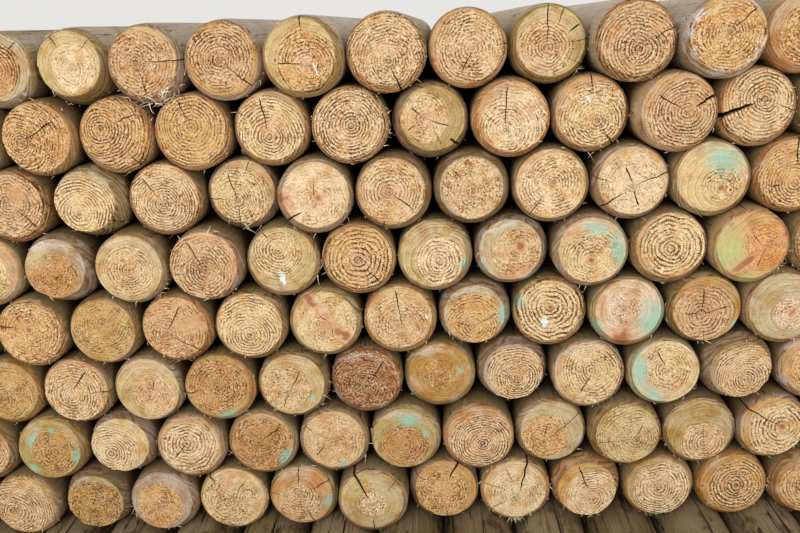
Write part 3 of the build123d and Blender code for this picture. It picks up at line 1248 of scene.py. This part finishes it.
        4: Look(SAND, MOSS, LAVENDER, 62, 18, -10, 5, -15, 45, 55, Split(62, 10, 45, 1.3), knot(5, -15, 5),
            heart=BLUSH),
        5: Look(AMBER, OCHRE, TAN, 80, -10, 8, -5, 5, 85, 35, Split(184, 45, 100, 1.6), stain(15, -80, 18, 1.7, 10),
            knot(65, 30, 13, 1, 0, 0.5)),
        6: Look(SAND, MOSS, KHAKI, 68, -15, -5, -12, -20, 55, 15, Split(60, 3, 60), Split(243, 5, 60, 1.1),
            stain(55, -35, 12)),
        7: Look(CHOCOLATE, BROWN, BROWN, 98, 0, 0, 0, -15, 80, 45, Split(52, 10, 75, 1.6), heart=BROWN, rings=14,
            gloss=80),
        8: Look(GOLD, GOLD, OLIVE, 45, 0, 5, 0, 3, 25, 40, stain(55, 15, 9), heart=ORANGE, gloss=70),
        9: Look(SAND, LAVENDER, LAVENDER, 80, 10, 0, 10, -10, 65, 90, heart=BLUSH, rings=14),
        10: Look(STRAW, SAND, LAVENDER, 84, 8, 0, 10, 10, 65, 65, Split(243, 5, 60, 1.6), Split(308, 45, 75, 1.3),
            gloss=50),
        11: Look(STRAW, CREAM, SAGE, 62, 10, 20, 5, 10, 60, 50, Split(108, 10, 70), stain(-66, 10, 24, 2.8, 95),
            stain(-30, -60, 20, 1.6, 330)),
        12: Look(SAND, KHAKI, GREY, 78, 10, 0, 15, -20, 65, 85, rings=14),
        13: Look(HONEY, TAN, LAVENDER, 75, 10, 0, 10, 0, 60, 40, gloss=60),
    },
    3: {
        2: Look(TAN, TAN, KHAKI, 85),
        3: Look(GOLD, OLIVE, OLIVE, 62, 10, -2, 10, -5, 40, 50, Split(112, 10, 50, 0.9), stain(10, 60, 12),
            stain(-55, -52, 14, 1.8, 320), stain(-48, 35, 12, 2, 60), stain(70, -20, 12, 2, 80), knot(10, -5, 6)),
        4: Look(CREAM, STRAW, LAVENDER, 70, -25, -10, -27, -13, 60, 80),
        5: Look(CREAM, TAN, GREY, 78, 0, 0, -10, 12, 80, 80, Split(222, 5, 55, 1.8), Split(160, 50, 85, 1.3),
            knot(-10, 12, 7), rings=9.5),
        6: Look(AMBER, TAN, GREY, 82, 0, 0, -5, 10, 75, 30, Split(42, 10, 60), stain(62, -40, 20, 1.6, 60),
            knot(-78, -10, 20, 1, 0, 0.5)),
        7: Look(SAND, SAND, GREY, 76, 0, 2, -25, -8, 45, 20, Split(143, 55, 95, 1.3), Split(220, 5, 60, 1.6),
            Split(20, 10, 40, 0.9), stain(25, -65, 13)),
        8: Look(AMBER, OLIVE, SAGE, 66, -5, -15, 0, -15, 55, 50, stain(10, 60, 22, 1.7, 335), knot(0, -15, 10),
            stain(55, 20, 10, 1.8, 110), gloss=60),
        9: Look(SAND, TAN, TAN, 84, 4, -10, 10, -15, 85, 100, heart=BLUSH, rings=14),
        10: Look(HONEY, SAGE, GREY, 66, -15, -10, -20, -25, 45, 35, Split(33, 10, 100, 1.1), Split(88, 5, 40, 1.1),
            knot(-20, -25, 8)),
        11: Look(MOSS, OLIVE, KHAKI, 80, 3, 0, 25, -10, 35, 50, Split(50, 3, 50, 1.6), Split(195, 3, 85, 1.1),
            Split(330, 3, 30, 1.1)),
        12: Look(SAND, OLIVE, KHAKI, 58, 10, -30, 10, -30, 45, 75, Split(90, 3, 35, 1.1), heart=BLUSH),
        13: Look(STRAW, WHEAT, LAVENDER, 80, 12, -8, 20, 5, 75, 85, Split(139, 10, 100, 1.6), knot(20, 5, 10),
            rings=9.5),
    },
    2: {
        3: Look(SAND, OCHRE, GREY, 85, -8, 5, -35, -15, 80, heart=BLUSH),
        4: Look(GOLD, OLIVE, KHAKI, 84, -5, -5, 0, -20, 80, 30, rings=15, gloss=40),
        5: Look(HONEY, LAVENDER, LAVENDER, 68, -8, -5, 0, -10, 45, 25, heart=ROSE, rings=15),
        6: Look(STRAW, STRAW, SAND, 90, -10, -10, 0, 10, 95, 12, Split(130, 70, 100, 2.7), Split(57, 20, 60),
            knot(-10, 60, 30, 1.6, 80, 0.42), knot(62, -15, 34, 1.3, 0, 0.42)),
        7: Look(SAND, ORANGE, SAGE, 58, -10, -15, -10, 10, 90, 40, Split(97, 30, 95), Split(35, 45, 95, 1.6),
            Split(168, 60, 97, 1.1), Split(288, 30, 100, 1.8), stain(70, -12, 16, 1.5, 60)),
        8: Look(CREAM, MOSS, KHAKI, 40, 0, -5, 0, -5, 75, 20, Split(122, 20, 100, 3.3), Split(42, 55, 90, 1.1),
            Split(268, 40)),
        9: Look(HONEY, WHEAT, GREY, 70, -5, -5, -10, 0, 70, 20, Split(65, 45, 100, 3), Split(143, 60, 97, 1.3),
            Split(276, 50, 85, 1.1)),
        10: Look(CREAM, STRAW, SAND, 80, 5, -10, 10, -10, 50, 35, Split(70, 10, 100, 2.7), Split(162, 30, 95, 1.1),
            Split(112, 40, 80, 1.1), Split(215, 40, 85, 1.3), fray=160),
        11: Look(CREAM, WHEAT, TAN, 76, 15, -12, 15, -20, 60, 65, Split(108, 20, 80, 1.8), heart=BLUSH, fray=60),
        12: Look(CREAM, OLIVE, TAN, 80, 5, 0, -5, 2, 70, 80, heart=BLUSH),
        13: Look(HONEY, OCHRE, GOLD, 76, 10, 0, 10, -2, 95, 100, knot(-80, 0, 11), heart=TAN, rings=11),
        14: Look(HONEY, BROWN, BROWN, 80, 5, 0, 5, 0, 80),
    },
}

TUFTS: dict[tuple[int, int], tuple[tuple[float, int, float], ...]] = {
    (9, 1): ((95, 9, 7), (245, 4, 10)),
    (9, 2): ((305, 18, 17), (268, 12, 20), (235, 5, 14)),
    (9, 7): ((318, 6, 8),),
    (8, 5): ((355, 8, 8), (20, 4, 7)),
    (8, 8): ((275, 4, 13),),
    (7, 4): ((290, 5, 15),),
    (7, 5): ((345, 3, 10),),
    (6, 3): ((315, 7, 13),),
    (6, 4): ((75, 4, 13), (300, 4, 8)),
    (6, 5): ((350, 4, 16),),
    (6, 11): ((322, 4, 9),),
    (5, 4): ((285, 5, 7),),
    (4, 6): ((325, 4, 10),),
    (3, 6): ((200, 3, 8),),
    (3, 7): ((345, 2, 17),),
    (2, 5): ((200, 6, 10),),
    (2, 6): ((15, 5, 9),),
    (2, 10): ((272, 18, 9), (128, 9, 14)),
    (2, 11): ((268, 10, 7),),
    (2, 12): ((262, 9, 6),),
    (2, 13): ((350, 5, 8),),
}


def main() -> None:
    """Builds the stack and reports how many posts each course has, and the staple."""
    logging.basicConfig(level=logging.INFO, format="%(name)s: %(message)s")
    clear()
    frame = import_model()
    bpy.context.scene.view_settings.view_transform = "Standard"
    Studio().build()
    sizes = PostBlank()
    blank = sizes.build()
    wood = WoodFinish("post_wood").build()
    old = WoodFinish("weathered_wood", checks=0.9, mottle=0.7, blotch=0.85, side_rough=0.7).build()
    fibre = FibreFinish().build()
    made: list[bpy.types.Object] = []
    for number in range(1, COURSES + 1):
        slot, spare, finish = ("weathered_wood", OLD, old) if number == 1 else ("post_wood", SPARE, wood)
        course = Course(f"course_{number}", slot, LOOKS.get(number, {}), spare, finish, fibre, sizes)
        course.build(blank, frame["nodes"][course.node], number)
        made += course.posts
    Staple().build(course.places[4][0])
    bpy.data.objects.remove(blank)
    bpy.ops.object.select_all(action="DESELECT")
    for post in made:
        post.select_set(True)
    bpy.context.view_layer.objects.active = made[0]
    bpy.ops.object.shade_smooth_by_angle(angle=SMOOTH_BELOW)


if __name__ == "__main__":
    main()
